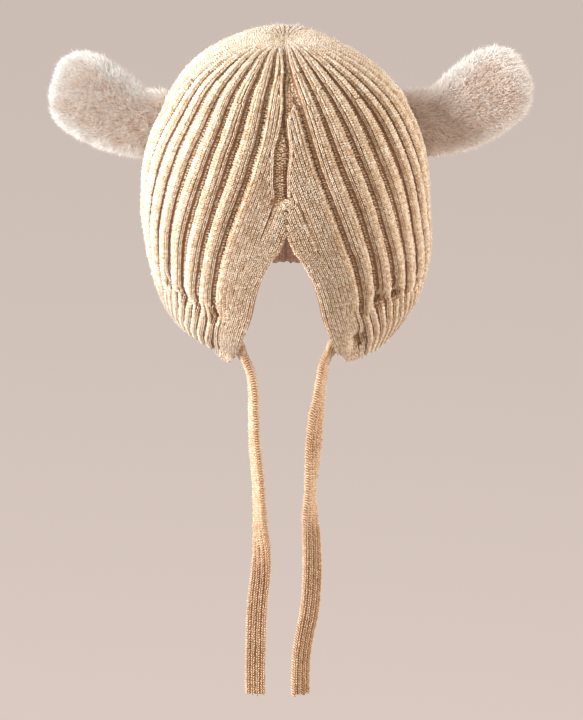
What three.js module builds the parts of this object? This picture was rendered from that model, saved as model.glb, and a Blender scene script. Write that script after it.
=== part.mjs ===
// Baby bonnet knitted in wide ribs, with a stuffed ear on each side and two flat knitted ties.
// Millimetres, +Z up. The face looks along -Y and the left ear lies towards -X.
// Heights and drops are measured from the cap's widest line. The whole model is then
// lowered so that the origin is the inner top of the crown, where a head carries it.
import * as THREE from 'three';

// Driving dimensions of the cap. The crown leans to the left and puckers behind its pole.
const capHalfWidth = 74;
const capFrontDepth = 77;
const capBackDepth = 82;
const crownRise = 90;
const crownRoundness = 2.3;
const crownDimple = 1;
const crownLean = 5;
const poleOffset = 1.8;
const puckerRise = 4.5;
const puckerBack = 27;
const puckerHalfWidth = 26;
const puckerHalfDepth = 16;
const capWall = 2.7;
const flapDrop = 69;
const hemPinch = 1.4;

// Driving dimensions of the ribs, the seam and the border of the face opening
const ribsPerSide = 17;
const backGrooveHalf = 0.15;
const ribDepth = 3;
const hemRibDepth = 1.8;
const ribFadeRadius = 58;
const seamDepth = 1.2;
const borderRise = 0.5;

// Driving dimensions of the ears
const earWidth = 41;
const earThickness = 19;
const earSeatHeight = 41.5;
const earSeatBack = 10;
const earSweepBack = 5;
const earTipRoundness = 2.3;
const earTipStart = 0.66;
const earSides = 16;
const leftEarLength = 55;
const rightEarLength = 61.5;
const seatClearance = 0.45;

// Driving dimensions of the ties
const tieWidth = 10.7;
const tieThickness = 3.7;
const tieSides = 10;
const tieSteps = 20;

// Girth below the widest line, as shares of the cap's half width and depths.
// The drop is a share of flapDrop.
const girthBelow = [
  { drop: 0, left: 1, right: 1, back: 1 },
  { drop: 0.13, left: 0.984, right: 1, back: 0.985 },
  { drop: 0.3, left: 0.961, right: 0.992, back: 0.955 },
  { drop: 0.46, left: 0.934, right: 0.97, back: 0.91 },
  { drop: 0.58, left: 0.91, right: 0.935, back: 0.86 },
  { drop: 0.68, left: 0.875, right: 0.895, back: 0.8 },
  { drop: 0.81, left: 0.79, right: 0.82, back: 0.74 },
  { drop: 0.92, left: 0.69, right: 0.75, back: 0.7 },
  { drop: 1, left: 0.655, right: 0.7, back: 0.68 },
];

// Drop of the hem at each azimuth from the front, as a share of flapDrop.
const hemLine = [
  { azimuth: 0, left: 0.9, right: 0.88 },
  { azimuth: 28, left: 0.91, right: 0.89 },
  { azimuth: 37, left: 1, right: 0.98 },
  { azimuth: 46, left: 0.93, right: 0.985 },
  { azimuth: 58, left: 0.86, right: 0.965 },
  { azimuth: 70, left: 0.83, right: 0.92 },
  { azimuth: 90, left: 0.82, right: 0.87 },
  { azimuth: 120, left: 0.8, right: 0.82 },
  { azimuth: 150, left: 0.74, right: 0.75 },
  { azimuth: 180, left: 0.705, right: 0.705 },
];

// Rows of the knit from the crown to the hem. Height is a share of crownRise, drop is a
// share of the hem's own drop. Edge and groove are the azimuths of the opening's edge and
// of the first groove, hem says how far the fine hem ribs have taken over from the wide
// ones, and pinch is a share of hemPinch.
const rows = [
  { height: 0.985, edge: 0, groove: 8, hem: 0, pinch: 0 },
  { height: 0.94, edge: 0, groove: 9, hem: 0, pinch: 0 },
  { height: 0.86, edge: 0, groove: 10, hem: 0, pinch: 0 },
  { height: 0.74, edge: 0, groove: 11.5, hem: 0, pinch: 0 },
  { height: 0.6, edge: 0, groove: 13.7, hem: 0, pinch: 0 },
  { height: 0.44, edge: 0, groove: 15, hem: 0, pinch: 0 },
  { height: 0.29, edge: 0, groove: 16.5, hem: 0, pinch: 0 },
  { height: 0.157, edge: 0, groove: 20, hem: 0, pinch: 0 },
  { drop: 0, edge: 3.2, groove: 24.5, hem: 0, pinch: 0 },
  { drop: 0.17, edge: 9.2, groove: 27.5, hem: 0, pinch: 0 },
  { drop: 0.36, edge: 13.3, groove: 30.5, hem: 0, pinch: 0 },
  { drop: 0.54, edge: 16, groove: 32.5, hem: 0, pinch: -0.3 },
  { drop: 0.61, edge: 17, groove: 33.5, hem: 0.5, pinch: 1 },
  { drop: 0.68, edge: 18.5, groove: 34.5, hem: 1, pinch: 0 },
  { drop: 0.84, edge: 22.5, groove: 37, hem: 1, pinch: 0 },
  { drop: 1, edge: 29.6, groove: 41, hem: 1, pinch: 0 },
];

// Columns between the seam or the opening's edge and the first groove. The places are
// shares of that stretch, the levels are shares of seamDepth and borderRise.
const frontColumns = [
  { seamPlace: 0, seamLevel: -1, borderPlace: 0, borderLevel: 1 },
  { seamPlace: 0.1, seamLevel: -1, borderPlace: 0.44, borderLevel: 1 },
  { seamPlace: 0.22, seamLevel: 0, borderPlace: 0.52, borderLevel: -1.6 },
  { seamPlace: 0.5, seamLevel: 0, borderPlace: 0.6, borderLevel: 0 },
  { seamPlace: 0.93, seamLevel: 0, borderPlace: 0.93, borderLevel: 0 },
];

// Columns of one rib and the groove before it. The places are shares of the rib's pitch,
// the levels run from 0 on the crest to -1 in the groove. In the hem each wide rib is
// two narrow ones.
const ribColumns = [
  { place: 0.04, level: -1, hemPlace: 0.05, hemLevel: -1 },
  { place: 0.3, level: -1, hemPlace: 0.3, hemLevel: 0 },
  { place: 0.42, level: 0, hemPlace: 0.55, hemLevel: -1 },
  { place: 0.92, level: 0, hemPlace: 0.8, hemLevel: 0 },
];

// Stations of an ear from its seat to the start of its round tip. At is a share of the
// ear's length, the tilts are degrees above level, and the sizes are shares of half the
// ear's width and thickness.
const earStations = [
  { at: 0, leftTilt: 10, rightTilt: 8, width: 0.86, thickness: 0.8 },
  { at: 0.16, leftTilt: 18, rightTilt: 15, width: 0.86, thickness: 0.86 },
  { at: 0.34, leftTilt: 31, rightTilt: 28, width: 0.93, thickness: 0.95 },
  { at: 0.54, leftTilt: 36, rightTilt: 37, width: 1, thickness: 1 },
  { at: 0.76, leftTilt: 31, rightTilt: 37, width: 1.02, thickness: 1 },
  { at: 1, leftTilt: 17, rightTilt: 28, width: 1, thickness: 1 },
];
const earRings = [0.07, 0.16, 0.27, 0.38, 0.49, 0.6, 0.7, 0.79, 0.87, 0.935, 0.98];
const seatRing = 0.5;

const ears = [
  { name: 'ear_left', side: -1, length: leftEarLength, tilt: 'leftTilt' },
  { name: 'ear_right', side: 1, length: rightEarLength, tilt: 'rightTilt' },
];

// Routes of the ties down from their sewn ends inside the flaps, chosen by hand. Turn is
// the angle of the tie's flat side from the X axis, in degrees.
const tieRoutes = [
  {
    name: 'tie_left',
    points: [
      { x: -26.4, y: -45.5, z: -56.0, turn: -27 },
      { x: -23.9, y: -42.6, z: -61.0, turn: -58 },
      { x: -20.9, y: -41.6, z: -66.5, turn: -78 },
      { x: -18.2, y: -41.4, z: -73.5, turn: -84 },
      { x: -16.9, y: -42.0, z: -82.5, turn: -81 },
      { x: -16.7, y: -42.6, z: -93.0, turn: -78 },
      { x: -16.4, y: -43.2, z: -105.0, turn: -75 },
      { x: -15.6, y: -43.6, z: -117.0, turn: -70 },
      { x: -14.5, y: -43.6, z: -129.5, turn: -68 },
      { x: -13.8, y: -43.2, z: -142.0, turn: -66 },
      { x: -13.3, y: -42.6, z: -155.0, turn: -56 },
      { x: -12.6, y: -42.1, z: -168.5, turn: -34 },
      { x: -13.3, y: -41.8, z: -182.0, turn: -13 },
      { x: -14.8, y: -41.7, z: -195.5, turn: -5 },
      { x: -15.6, y: -41.8, z: -209.0, turn: -3 },
      { x: -15.9, y: -42.0, z: -221.5, turn: -3 },
      { x: -16.1, y: -42.2, z: -233.5, turn: -4 },
      { x: -16.1, y: -42.3, z: -245.5, turn: -5 },
    ],
  },
  {
    name: 'tie_right',
    points: [
      { x: 25.4, y: -49.3, z: -55.0, turn: 28 },
      { x: 22.9, y: -45.2, z: -60.0, turn: 58 },
      { x: 19.6, y: -42.9, z: -66.0, turn: 74 },
      { x: 17.8, y: -42.4, z: -74.5, turn: 75 },
      { x: 16.4, y: -42.4, z: -86.0, turn: 66 },
      { x: 14.7, y: -43.0, z: -98.0, turn: 52 },
      { x: 13.6, y: -43.4, z: -110.5, turn: 50 },
      { x: 12.8, y: -43.4, z: -123.0, turn: 58 },
      { x: 12.1, y: -43.0, z: -135.5, turn: 70 },
      { x: 11.7, y: -42.6, z: -148.0, turn: 54 },
      { x: 12.6, y: -42.3, z: -161.5, turn: 32 },
      { x: 13.1, y: -42.1, z: -175.0, turn: 24 },
      { x: 12.8, y: -42.0, z: -189.0, turn: 20 },
      { x: 11.6, y: -42.0, z: -202.5, turn: 18 },
      { x: 9.6, y: -42.1, z: -213.0, turn: 22 },
      { x: 7.9, y: -42.2, z: -223.0, turn: 26 },
      { x: 7.2, y: -42.3, z: -234.0, turn: 28 },
      { x: 7.0, y: -42.4, z: -245.5, turn: 28 },
    ],
  },
];

// Materials
const wool = { color: 0xd9bf9c, roughness: 0.95, metalness: 0 };
const plush = { color: 0xe9ddd0, roughness: 1, metalness: 0 };

const radians = THREE.MathUtils.degToRad;
const crownSeat = crownRise - crownDimple - capWall;

// A value between the rows of a table, eased along one named column.
function lookUp(table, key, at, column) {
  const last = table.length - 1;
  let i = 0;
  while (i < last - 1 && at > table[i + 1][key]) i += 1;
  const span = table[i + 1][key] - table[i][key];
  const share = THREE.MathUtils.clamp((at - table[i][key]) / span, 0, 1);
  return THREE.MathUtils.lerp(table[i][column], table[i + 1][column], share);
}

// How far a direction turns to the right side, from 0 on the left to 1 on the right.
function rightShare(azimuth) {
  return 0.5 + 0.5 * Math.sin(azimuth);
}

// Half girth of the cap at a height, as a share of its widest.
function girthAt(height, azimuth) {
  if (height >= 0) {
    const share = Math.min(height / crownRise, 1);
    return (1 - share ** crownRoundness) ** (1 / crownRoundness);
  }
  const drop = -height / flapDrop;
  const left = lookUp(girthBelow, 'drop', drop, 'left');
  const right = lookUp(girthBelow, 'drop', drop, 'right');
  const back = lookUp(girthBelow, 'drop', drop, 'back');
  const side = THREE.MathUtils.lerp(left, right, rightShare(azimuth));
  const backShare = Math.max(0, -Math.cos(azimuth)) ** 2;
  return THREE.MathUtils.lerp(side, back, backShare);
}

// The line of the rib crests: a point on the cap before ribs and seams are cut into it.
function crestPoint(azimuth, height) {
  const girth = girthAt(height, azimuth);
  const depth = Math.cos(azimuth) > 0 ? capFrontDepth : capBackDepth;
  const up = Math.max(0, height / crownRise);
  const x = capHalfWidth * girth * Math.sin(azimuth) - crownLean * up ** 2.5;
  const y = -depth * girth * Math.cos(azimuth);
  const away = (x / puckerHalfWidth) ** 2 + ((y - puckerBack) / puckerHalfDepth) ** 2;
  return new THREE.Vector3(x, y, height + puckerRise * up ** 8 * Math.exp(-away));
}

// The outward direction of the cap at a point of the crest line.
function crestNormal(azimuth, height) {
  const turn = 0.01;
  const step = 0.3;
  const along = crestPoint(azimuth + turn, height).sub(crestPoint(azimuth - turn, height));
  const low = crestPoint(azimuth, height - step);
  const high = crestPoint(azimuth, Math.min(height + step, crownRise));
  return along.cross(high.sub(low)).normalize();
}

// Height of a row of the knit at an azimuth.
function rowHeight(row, azimuth) {
  if (row.height !== undefined) return row.height * crownRise;
  const turned = Math.abs(THREE.MathUtils.radToDeg(azimuth));
  const left = lookUp(hemLine, 'azimuth', turned, 'left');
  const right = lookUp(hemLine, 'azimuth', turned, 'right');
  return -row.drop * flapDrop * THREE.MathUtils.lerp(left, right, rightShare(azimuth));
}

// Columns of one side of the cap in a row, from the front to the back. Each has its
// azimuth and its level above the crests.
function sideColumns(row) {
  const open = row.edge > 0 ? 1 : 0;
  const columns = frontColumns.map((column) => {
    const place = open ? column.borderPlace : column.seamPlace;
    const level = open ? column.borderLevel * borderRise : column.seamLevel * seamDepth;
    return { azimuth: row.edge + (row.groove - row.edge) * place, level };
  });
  const pitch = (180 - row.groove) / (ribsPerSide + backGrooveHalf);
  for (let rib = 0; rib <= ribsPerSide; rib += 1) {
    const inRib = rib < ribsPerSide ? ribColumns : ribColumns.slice(0, 1);
    for (const column of inRib) {
      const place = THREE.MathUtils.lerp(column.place, column.hemPlace, row.hem);
      const wide = column.level * ribDepth * (1 - row.hem);
      const fine = column.hemLevel * hemRibDepth * row.hem;
      columns.push({ azimuth: row.groove + pitch * (rib + place), level: wide + fine });
    }
  }
  return columns;
}

// One vertex of the cap, on its outer face or one wall further in.
function capVertex(row, column, side, inset) {
  const azimuth = side * radians(column.azimuth);
  const height = rowHeight(row, azimuth);
  const point = crestPoint(azimuth, height);
  const normal = crestNormal(azimuth, height);
  const radius = Math.hypot(point.x, point.y);
  const fade = Math.min(1, radius / ribFadeRadius);
  const level = column.level * fade - row.pinch * hemPinch - inset;
  return point.addScaledVector(normal, level);
}

// The knit cap: an outer and an inner skin on one grid of rows and columns, shut round
// the hem and along the two edges of the face opening.
function capGeometry() {
  const positions = [];
  const index = [];
  const addVertex = (v) => positions.push(v.x, v.y, v.z) / 3 - 1;
  const face = (a, b, c) => {
    if (a !== b && b !== c && a !== c) index.push(a, b, c);
  };
  const quad = (a, b, c, d) => {
    face(a, b, c);
    face(a, c, d);
  };

  const skins = [0, capWall].map((inset) =>
    rows.map((row) => {
      const columns = sideColumns(row);
      const right = columns.map((column) => addVertex(capVertex(row, column, 1, inset)));
      const leftColumns = row.edge > 0 ? columns : columns.slice(1);
      const left = leftColumns.map((column) => addVertex(capVertex(row, column, -1, inset)));
      const shared = row.edge > 0 ? [] : [right[0]];
      return [...right, ...left.reverse(), ...shared];
    })
  );
  const [outer, inner] = skins;

  outer.slice(1).forEach((lower, i) => {
    const upper = outer[i];
    const innerUpper = inner[i];
    const innerLower = inner[i + 1];
    for (let j = 0; j + 1 < lower.length; j += 1) {
      quad(upper[j], lower[j], lower[j + 1], upper[j + 1]);
      quad(innerUpper[j + 1], innerLower[j + 1], innerLower[j], innerUpper[j]);
    }
    const end = lower.length - 1;
    if (lower[0] !== lower[end]) {
      quad(upper[0], innerUpper[0], innerLower[0], lower[0]);
      quad(innerUpper[end], upper[end], lower[end], innerLower[end]);
    }
  });

  const outerPole = addVertex(new THREE.Vector3(-poleOffset, 0, crownRise - crownDimple));
  const innerPole = addVertex(new THREE.Vector3(-poleOffset, 0, crownSeat));
  const outerHem = outer[outer.length - 1];
  const innerHem = inner[inner.length - 1];
  for (let j = 0; j + 1 < outerHem.length; j += 1) {
    face(outerPole, outer[0][j], outer[0][j + 1]);
    face(innerPole, inner[0][j + 1], inner[0][j]);
    quad(outerHem[j], innerHem[j], innerHem[j + 1], outerHem[j + 1]);
  }
  return meshGeometry(positions, index);
}

function meshGeometry(positions, index) {
  const geometry = new THREE.BufferGeometry();
  geometry.setAttribute('position', new THREE.Float32BufferAttribute(positions, 3));
  geometry.setIndex(index);
  geometry.computeVertexNormals();
  return geometry;
}

// Distance from the middle plane to the cap's side at a height and depth.
function capSideAt(side, y, height) {
  const depth = y < 0 ? capFrontDepth : capBackDepth;
  const girth = girthAt(height, side * Math.PI / 2);
  const lean = crownLean * Math.max(0, height / crownRise) ** 2.5;
  return capHalfWidth * Math.sqrt(girth ** 2 - (y / depth) ** 2) - side * lean;
}

// Middle line of an ear: from the cap's side outwards, bending by its table of tilts.
function earMiddle(ear) {
  const steps = 60;
  const step = ear.length / steps;
  const start = capSideAt(ear.side, earSeatBack, earSeatHeight) + seatClearance;
  const point = new THREE.Vector3(ear.side * start, earSeatBack, earSeatHeight);
  const line = [];
  for (let i = 0; i <= steps; i += 1) {
    const at = i / steps;
    const tilt = radians(lookUp(earStations, 'at', at, ear.tilt));
    line.push({ at, tilt, x: point.x, y: point.y, z: point.z });
    point.x += ear.side * step * Math.cos(tilt);
    point.z += step * Math.sin(tilt);
    point.y += earSweepBack / steps;
  }
  return line;
}

// A stuffed ear: flattened round sections along its middle line, with a blunt round tip,
// on a hollow seat that follows the side of the cap.
function earGeometry(ear) {
  const positions = [];
  const index = [];
  const middle = earMiddle(ear);
  const addVertex = (x, y, z) => positions.push(x, y, z) / 3 - 1;

  const sectionPoint = (at, share, k) => {
    const angle = (2 * Math.PI * k) / earSides;
    const past = Math.max(0, (at - earTipStart) / (1 - earTipStart));
    const tip = (1 - past ** earTipRoundness) ** (1 / earTipRoundness);
    const halfWidth = (earWidth / 2) * lookUp(earStations, 'at', at, 'width') * tip * share;
    const thickness = lookUp(earStations, 'at', at, 'thickness') * tip * share;
    const tilt = lookUp(middle, 'at', at, 'tilt');
    const across = halfWidth * Math.cos(angle);
    return {
      x: lookUp(middle, 'at', at, 'x') - ear.side * across * Math.sin(tilt),
      y: lookUp(middle, 'at', at, 'y') + (earThickness / 2) * thickness * Math.sin(angle),
      z: lookUp(middle, 'at', at, 'z') + across * Math.cos(tilt),
    };
  };
  const seatPoint = (share, k) => {
    const p = sectionPoint(0, share, k);
    return addVertex(ear.side * (capSideAt(ear.side, p.y, p.z) + seatClearance), p.y, p.z);
  };
  const ring = (make) => Array.from({ length: earSides }, (_, k) => make(k));

  const rings = [
    ring((k) => seatPoint(seatRing, k)),
    ring((k) => seatPoint(1, k)),
    ...earRings.map((at) =>
      ring((k) => {
        const p = sectionPoint(at, 1, k);
        return addVertex(p.x, p.y, p.z);
      })
    ),
  ];
  const end = middle[middle.length - 1];
  const seatMiddle = seatPoint(0, 0);
  const tip = addVertex(end.x, end.y, end.z);

  const face = (a, b, c) => (ear.side < 0 ? index.push(a, b, c) : index.push(a, c, b));
  for (let k = 0; k < earSides; k += 1) {
    const next = (k + 1) % earSides;
    rings.slice(1).forEach((outer, i) => {
      face(rings[i][k], outer[next], outer[k]);
      face(rings[i][k], rings[i][next], outer[next]);
    });
    face(seatMiddle, rings[0][next], rings[0][k]);
    face(tip, rings[rings.length - 1][k], rings[rings.length - 1][next]);
  }
  return meshGeometry(positions, index);
}

// A smooth line through a tie's points that also turns the tie's flat side.
class TurningCurve extends THREE.CatmullRomCurve3 {
  constructor(points) {
    super(points.map((p) => new THREE.Vector3(p.x, p.y, p.z)), false, 'centripetal');
    this.turns = points.map((p) => radians(p.turn));
  }

  computeFrenetFrames(segments) {
    const tangents = [];
    const normals = [];
    const binormals = [];
    for (let i = 0; i <= segments; i += 1) {
      const share = i / segments;
      const tangent = this.getTangentAt(share);
      const place = this.getUtoTmapping(share) * (this.turns.length - 1);
      const low = Math.min(Math.floor(place), this.turns.length - 2);
      const turn = THREE.MathUtils.lerp(this.turns[low], this.turns[low + 1], place - low);
      const across = new THREE.Vector3(Math.cos(turn), Math.sin(turn), 0);
      across.addScaledVector(tangent, -across.dot(tangent)).normalize();
      tangents.push(tangent);
      normals.push(across);
      binormals.push(new THREE.Vector3().crossVectors(tangent, across));
    }
    return { tangents, normals, binormals };
  }
}

// A flat knitted tie with round edges, laid along its route.
function tieGeometry(route) {
  const section = new THREE.Shape();
  for (let k = 0; k < tieSides; k += 1) {
    const angle = (2 * Math.PI * (k + 0.5)) / tieSides;
    const x = (tieWidth / 2) * Math.sign(Math.cos(angle)) * Math.abs(Math.cos(angle)) ** 0.6;
    const y = (tieThickness / 2) * Math.sign(Math.sin(angle)) * Math.abs(Math.sin(angle)) ** 0.6;
    if (k === 0) section.moveTo(x, y);
    else section.lineTo(x, y);
  }
  section.closePath();
  const path = new TurningCurve(route.points);
  return new THREE.ExtrudeGeometry(section, { steps: tieSteps, extrudePath: path });
}

function addPiece(group, name, geometry, material) {
  const mesh = new THREE.Mesh(geometry, new THREE.MeshStandardMaterial(material));
  mesh.name = name;
  group.add(mesh);
}

const bonnet = new THREE.Group();
bonnet.position.z = -crownSeat;
addPiece(bonnet, 'knit_cap', capGeometry(), wool);
for (const ear of ears) addPiece(bonnet, ear.name, earGeometry(ear), plush);
for (const route of tieRoutes) addPiece(bonnet, route.name, tieGeometry(route), wool);

export default bonnet;
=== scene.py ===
import math

import bpy
import numpy as np
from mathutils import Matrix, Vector


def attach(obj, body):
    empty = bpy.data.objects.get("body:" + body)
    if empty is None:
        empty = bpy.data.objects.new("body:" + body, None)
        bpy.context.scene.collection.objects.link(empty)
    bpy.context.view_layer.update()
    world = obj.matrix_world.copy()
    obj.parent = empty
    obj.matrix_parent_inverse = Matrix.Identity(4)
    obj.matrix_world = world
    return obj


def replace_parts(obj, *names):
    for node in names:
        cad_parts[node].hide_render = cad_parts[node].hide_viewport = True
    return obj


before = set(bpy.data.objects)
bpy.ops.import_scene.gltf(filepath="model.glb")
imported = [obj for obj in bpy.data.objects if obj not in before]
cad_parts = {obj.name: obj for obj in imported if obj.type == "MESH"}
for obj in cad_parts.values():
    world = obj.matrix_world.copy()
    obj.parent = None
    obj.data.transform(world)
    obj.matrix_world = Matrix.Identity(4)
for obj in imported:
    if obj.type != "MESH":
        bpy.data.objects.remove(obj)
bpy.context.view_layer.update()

MM = 0.001

# The cap, with the same sizes as its solid
HALF_WIDTH, FRONT_DEPTH, BACK_DEPTH = 74, 77, 82
CROWN_RISE, CROWN_ROUNDNESS, CROWN_DIMPLE = 90, 2.3, 1
DIMPLE_GAIN, DIMPLE_REACH = 2.2, 9
CROWN_LEAN, LEAN_POWER, POLE_OFFSET, POLE_REACH = 5, 2.5, 1.8, 18
PUCKER_RISE, PUCKER_BACK, PUCKER_HALF_WIDTH, PUCKER_HALF_DEPTH = 4.0, 27, 26, 16
PUCKER_POWER = 8
WALL, FLAP_DROP = 2.7, 69
CROWN_SEAT = CROWN_RISE - CROWN_DIMPLE - WALL

# Ribs: places and widths are shares of the pitch from one groove to the next
RIBS, BACK_GROOVE = 17, 0.15
GROOVE_MIDDLE, GROOVE_HALF, CREST_SHARE = 0.17, 0.16, 0.68
RIB_DEPTH, HEM_RIB_DEPTH, RIB_UNEVEN, RIB_FADE_RADIUS, LEAST_FADE = 3.3, 2.2, 0.15, 58, 0.17
HEM_STARTS, HEM_DONE, HEM_TURN = -0.47, -0.58, -0.525
HEM_DENT, DENT_LINE, DENT_REACH = 0.21, -0.52, 0.05
# Waves in the ribs' course: size, and what height, rib and side add to the phase
RIB_WAVES = [(0.035, 2.6, 1.9, 1.3), (0.02, 7, -2.7, 1)]
# Waves in the hem's start round the cap: size, pace and phase
HEM_WAVES = [(0.028, 0.13, 1), (0.022, 0.31, 0)]

# Creases: their depths and how far they reach
BORDER_DEPTH, BORDER_DEEPER, BORDER_REACH = 0.4, 1.0, 4.5
SPLIT_DEPTH, SPLIT_REACH = 0.4, 0.8
WEDGE_DEPTH, CREASE_DEPTH, CREASE_REACH = 1.5, 2.2, 0.8
EDGE_DEPTH, EDGE_REACH = 0.7, 1.4

# The cloth's grid
FRONT_CELLS, RIB_CELLS, CROWN_RADII = 24, 9, (1.2, 2.5, 4, 6, 8, 10.5, 13, 16)

# Stitches
STITCH_WIDTH, STITCH_HEIGHT, STITCH_RELIEF = 2.0, 1.38, 0.95
PURL_RELIEF, EDGE_RELIEF, SIDE_SINK = 0.7, 0.55, 0.3
KNIT_SINK, BASE_SINK, PLAIN_JITTER, PURL_JITTER = 0.6, 0.8, 0.06, 0.17
# Tones of the purl columns, darkened as painted shade in the grooves, in the seam's wedge and in the
# split
PURL_SHADED_TONE, SEAM_SHADED_TONE, SPLIT_SHADED_TONE = 0.95, 0.74, 0.8
# Painted shade and light in the stitches' tones: in hollows, in the crown's grooves, on rib shoulders
# and in pits, eased off on the lit side, where a little painted light is added
CAVITY_SHADE, CAVITY_REACH, CROWN_GROOVE_SHADE = 0.15, 1.3, 0.3
SHOULDER_SHADE, PIT_SHADE, LIT_SHARE, LIT_GAIN = 0.16, 0.07, 0.8, 0.1
# LEAST_TONE and TONE_SPREAD give each stitch its own random tone; END_SHADE and LOW_SHADE are painted
# shade at a strand's ends and sides and low down a leg
LEAST_TONE, TONE_SPREAD, END_SHADE, LOW_SHADE = 0.80, 0.36, 0.5, 0.22
BAND_COLUMNS, BORDER_COLUMNS, BORDER_WIDTH = 13, 6, 12.2
SEAM_COLUMNS, SEAM_PITCH, SEAM_WIDTH, SPLIT_WIDTH = 7, 1.3, 1.4, 1.7
# Columns on a rib's crest and in a groove, each with the widths between which they are knitted
CREST_ZONES = [(4, 5.6, 99), (3, 3.9, 5.6), (2, 2.2, 3.9), (1, 0.85, 2.2)]
GROOVE_ZONES = [(2, 2.3, 99), (1, 0.45, 2.3)]
PURL_SHARE, FINE_SPACING, FINE_PLAIN, FINE_PURL = 0.3, 0.18, 0.27, 0.26
INSIDE_PURLS, CHART_HEIGHT = (450, 148), 330
FUZZ_COUNT, FUZZ_WIDTH, FUZZ_CROWN_SHARE = 26000, 0.07, 0.3
SEED = 7

# Ears
EAR_WIDTH, EAR_THICKNESS = 41, 19
EAR_SEAT_HEIGHT, EAR_SEAT_BACK, EAR_SWEEP_BACK = 41.5, 10, 5
EAR_TIP_ROUNDNESS, EAR_TIP_START, SEAT_CLEARANCE = 2.3, 0.66, 0.45
PILE_SINK, PILE_LENGTH, PILE_WIDTH, PILE_COUNT = 2.5, 4.4, 0.34, 46000
EAR_SEAT_SINK, EAR_SEAT_REACH, EAR_STEPS = 3.0, 0.2, 120
EAR_ROWS, EAR_COLUMNS, EAR_BODY_TONE = 44, 56, 0.12
# Tone at the tips of the pile in the middle of the left and of the right ear: lighter on the left ear
# as painted light, darker on the right as painted shade, for the key lamp on the left
TIP_TONE_WITH_LIGHT_AND_SHADE = {-1: 0.92, 1: 0.66}

# Ties
TIE_WIDTH, TIE_THICKNESS, TIE_COLUMNS, TIE_SPACING = 10.7, 3.7, 4, 1.3
TIE_ROWS, TIE_SIDES, TIE_SAMPLES, TIE_KNIT_SHARE = 150, 22, 1200, 0.93

# Tables, as functions of the knit's own height: 1 at the crown, 0 at the widest line and
# -1 at the hem. Azimuths are degrees from the front.
OPENING_EDGE = [(0.1, 0), (0.055, 1.0), (0.011, 2.3), (-0.03, 4), (-0.168, 8), (-0.31, 11.2),
                (-0.445, 13.3), (-0.6, 15.3), (-0.8, 19.8), (-1, 27.6)]
GROOVE_LEFT = [(1, 5), (0.978, 4.5), (0.944, 4.2), (0.916, 5), (0.894, 5.6), (0.858, 7), (0.828, 7.9),
               (0.695, 10.2), (0.579, 12.2), (0.536, 13.3), (0.391, 16.2), (0.31, 18.2), (0.131, 22.6),
               (-0.028, 26.1), (-0.229, 29), (-0.4, 31.3), (-0.5, 32), (-0.6, 32.4), (-0.7, 35),
               (-0.8, 39), (-1, 47)]
GROOVE_RIGHT = [(1, 13), (0.978, 11.5), (0.96, 10), (0.892, 9.3), (0.794, 10), (0.691, 11), (0.5, 13.3),
                (0.329, 16.8), (0.148, 21.2), (-0.093, 26.8), (-0.334, 30.4), (-0.45, 32),
                (-0.55, 33), (-0.65, 36), (-0.8, 42), (-1, 49)]
BORDER_LINE = [(0.3, 0), (0.265, 4.3), (0.16, 7.6), (0, 12.2), (-0.17, 17.4), (-0.36, 21.3),
               (-0.54, 24.3), (-0.68, 27.6), (-0.84, 31.6), (-1, 37)]
# The purl wedge of the middle seam: its left and right sides and its deepest line, in
# signed degrees
SEAM_LEFT = [(1, 2.4), (0.962, 5.6), (0.858, 2.2), (0.763, 1.0), (0.693, -0.6), (0.6, -3.2),
             (0.543, -4.5), (0.399, -5.0), (0.3, -4.4)]
SEAM_RIGHT = [(1, 9), (0.96, 8.2), (0.858, 8.6), (0.79, 7.4), (0.74, 4.6), (0.70, 2.4),
              (0.568, 2.5), (0.399, 0.7), (0.3, 0.7)]
SEAM_CREASE = [(1, 3), (0.992, 6), (0.962, 6.2), (0.858, 2.8), (0.763, 1.5), (0.693, 0.7), (0.568, 2.0),
               (0.399, 0.1), (0.3, 0.1)]
SEAM_ENDS, WEDGE_ENDS, SLIT_TOP = 0.3, 0.255, 0.1
# Pits in the flaps and at the top of the hem, and broad hollows that draw the outline in:
# azimuth, height, depth, and spread in degrees and in height
PITS = [
    (-78, -0.571, 2.2, 3, 0.05), (-59.6, -0.46, 1.6, 2.5, 0.05), (-48.1, -0.51, 3.4, 2.8, 0.055),
    (-41.2, -0.53, 3.8, 2.4, 0.05), (-32, -0.6, 4.2, 2.6, 0.055), (31.6, -0.554, 1.4, 2, 0.05),
    (42.1, -0.46, 4.8, 3.6, 0.055), (51.4, -0.455, 3.6, 2.6, 0.05), (68.5, -0.49, 3.2, 3, 0.05),
    (36.2, -0.80, 5.0, 5.0, 0.08), (85, 0.12, 1.2, 35, 0.22), (-75, 0.68, 1.9, 50, 0.2),
    (-75, -0.78, 1.1, 25, 0.2), (-20, 0.93, 1.0, 60, 0.1), (85, 0.68, -0.9, 40, 0.14),
]
GIRTH_BELOW = [
    (0, 1, 1, 1), (0.13, 0.984, 1, 0.985), (0.3, 0.961, 0.992, 0.955), (0.46, 0.934, 0.97, 0.91),
    (0.58, 0.91, 0.935, 0.86), (0.68, 0.875, 0.895, 0.8), (0.81, 0.79, 0.82, 0.74),
    (0.92, 0.69, 0.75, 0.7), (1, 0.655, 0.7, 0.68),
]
HEM_LINE = [
    (0, 0.9, 0.88), (28, 0.91, 0.89), (37, 1, 0.98), (46, 0.93, 0.985), (58, 0.86, 0.965),
    (70, 0.83, 0.92), (90, 0.82, 0.87), (120, 0.8, 0.82), (150, 0.73, 0.74), (180, 0.69, 0.69),
]
# At, left tilt, right tilt, width, thickness
EAR_STATIONS = [
    (0, 10, 9, 0.86, 0.8), (0.16, 16.5, 16, 0.86, 0.86), (0.34, 29, 29, 0.93, 0.95),
    (0.54, 34.5, 37, 1, 1), (0.76, 31, 37, 1.02, 1), (1, 17, 28, 1, 1),
]
EARS = [("ear_left", -1, 55.0, 1), ("ear_right", 1, 61.5, 2)]

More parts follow.
